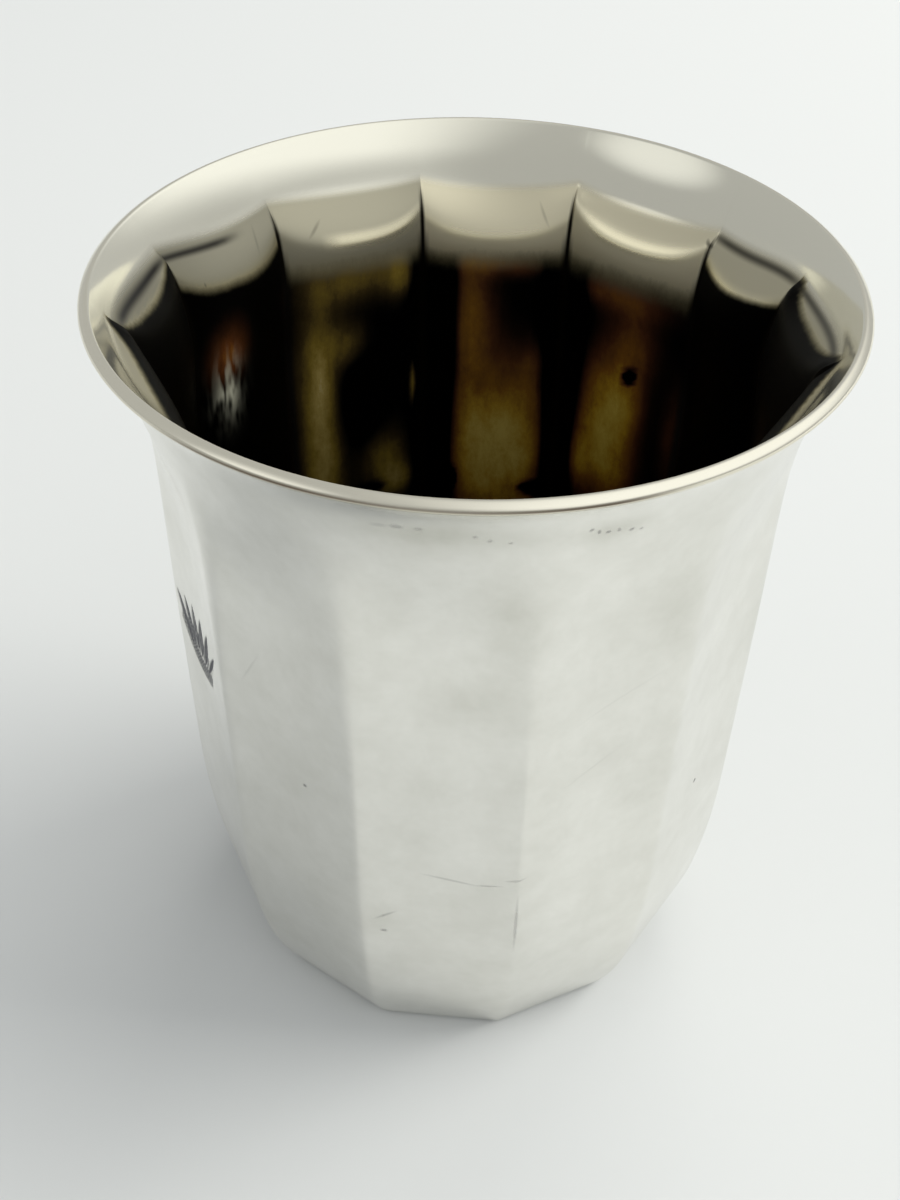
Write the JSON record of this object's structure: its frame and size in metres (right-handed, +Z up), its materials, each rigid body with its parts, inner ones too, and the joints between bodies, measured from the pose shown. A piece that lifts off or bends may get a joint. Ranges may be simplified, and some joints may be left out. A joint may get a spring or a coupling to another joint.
{
  "type": "christening beaker",
  "caption": "Hollow silver christening beaker with flat facets, a round flared lip with a thickened edge, a rounded-in foot and a flat base.",
  "frame": {"origin": "middle of the flat underside, where the cup stands", "axes": "+Z up along the cup's axis, out of its mouth; one facet faces -Y and the engraved facet faces -X and a little to -Y"},
  "size_m": [0.069, 0.069, 0.0795],
  "materials": {
    "silver": "polished sterling silver, soft with handling, with a darkly tarnished gilt inside"
  },
  "bodies": {
    "root": {"beaker": "silver"}
  },
  "joints": []
}
